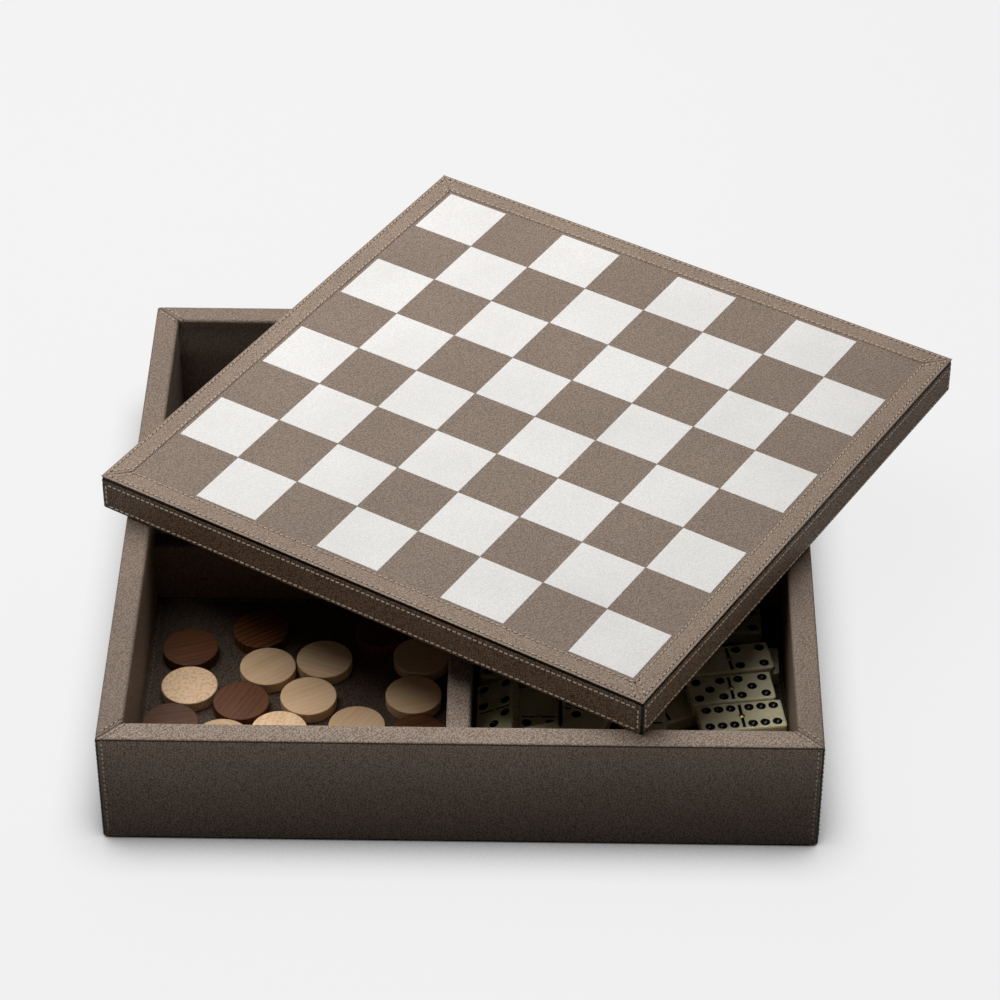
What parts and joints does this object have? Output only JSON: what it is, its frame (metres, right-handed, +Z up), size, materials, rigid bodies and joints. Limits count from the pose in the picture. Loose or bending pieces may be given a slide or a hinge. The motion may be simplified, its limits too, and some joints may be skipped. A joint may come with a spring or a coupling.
{
  "type": "games compendium box",
  "caption": "Square leather covered box in four compartments for draughts and dominoes, with a loose lid whose top is a chequer board; the lid lies turned across the rim.",
  "frame": {"origin": "centre of the underside of the tray", "axes": "+X to the right and +Y to the back of the tray, +Z up"},
  "size_m": [0.4784, 0.4864, 0.0936],
  "materials": {
    "leather": "fine pebble grain taupe leather, satin",
    "white_leather": "fine grain white leather, satin",
    "timber": "plain planed timber, unfinished",
    "walnut": "fine grained walnut, dull waxed",
    "maple": "fine grained maple, dull waxed",
    "ivory": "polished ivory coloured resin with gloss black pips",
    "suede": "short napped lining suede",
    "brass": "polished brass"
  },
  "bodies": {
    "tray": {"wall_core_front": "timber", "wall_cover_front": "leather", "wall_core_right": "timber", "wall_cover_right": "leather", "wall_core_back": "timber", "wall_cover_back": "leather", "wall_core_left": "timber", "wall_cover_left": "leather", "corner_splines": "timber", "base_panel": "timber", "base_lining": "suede", "floor_panel_front_left": "leather", "floor_panel_front_right": "leather", "floor_panel_back_left": "leather", "floor_panel_back_right": "leather", "divider_long": "timber", "divider_cross": "timber", "divider_long_cover": "leather", "divider_cross_cover_left": "leather", "divider_cross_cover_right": "leather", "draught_walnut_d": "walnut", "draught_walnut_e": "walnut", "draught_walnut_f": "walnut", "draught_maple_f": "maple", "draught_maple_g": "maple", "draught_maple_h": "maple", "draught_maple_i": "maple", "draughts_walnut_stacked": "walnut", "draughts_maple_stacked": "maple", "domino_six_six": "ivory", "domino_five_five": "ivory", "domino_blank_four": "ivory", "domino_one_blank": "ivory", "domino_blank_three": "ivory", "domino_blank_five": "ivory", "domino_two_three": "ivory", "domino_three_four": "ivory", "dominoes_below": "ivory", "domino_pins": "brass"},
    "lid": {"lid_core": "timber", "lid_sheet": "leather", "lid_white_squares": "white_leather", "lid_lining": "suede", "lid_border_front": "leather", "lid_border_right": "leather", "lid_border_back": "leather", "lid_border_left": "leather", "lid_band_front": "leather", "lid_band_right": "leather", "lid_band_back": "leather", "lid_band_left": "leather"},
    "draught_walnut_a": {"draught_walnut_a": "walnut"},
    "draught_walnut_b": {"draught_walnut_b": "walnut"},
    "draught_walnut_c": {"draught_walnut_c": "walnut"},
    "draught_maple_a": {"draught_maple_a": "maple"},
    "draught_maple_b": {"draught_maple_b": "maple"},
    "draught_maple_c": {"draught_maple_c": "maple"},
    "draught_maple_d": {"draught_maple_d": "maple"},
    "draught_maple_e": {"draught_maple_e": "maple"}
  },
  "joints": [
    {"name": "lid_lift", "type": "slide", "parent": "tray", "child": "lid", "axis": [0, 0, 1], "range_m": [0, 0.15]},
    {"name": "draught_walnut_a_lift", "type": "slide", "parent": "tray", "child": "draught_walnut_a", "axis": [0, 0, 1], "range_m": [0, 0.08]},
    {"name": "draught_walnut_b_lift", "type": "slide", "parent": "tray", "child": "draught_walnut_b", "axis": [0, 0, 1], "range_m": [0, 0.08]},
    {"name": "draught_walnut_c_lift", "type": "slide", "parent": "tray", "child": "draught_walnut_c", "axis": [0, 0, 1], "range_m": [0, 0.08]},
    {"name": "draught_maple_a_lift", "type": "slide", "parent": "tray", "child": "draught_maple_a", "axis": [0, 0, 1], "range_m": [0, 0.08]},
    {"name": "draught_maple_b_lift", "type": "slide", "parent": "tray", "child": "draught_maple_b", "axis": [0, 0, 1], "range_m": [0, 0.08]},
    {"name": "draught_maple_c_lift", "type": "slide", "parent": "tray", "child": "draught_maple_c", "axis": [0, 0, 1], "range_m": [0, 0.08]},
    {"name": "draught_maple_d_lift", "type": "slide", "parent": "tray", "child": "draught_maple_d", "axis": [0, 0, 1], "range_m": [0, 0.08]},
    {"name": "draught_maple_e_lift", "type": "slide", "parent": "tray", "child": "draught_maple_e", "axis": [0, 0, 1], "range_m": [0, 0.08]}
  ]
}
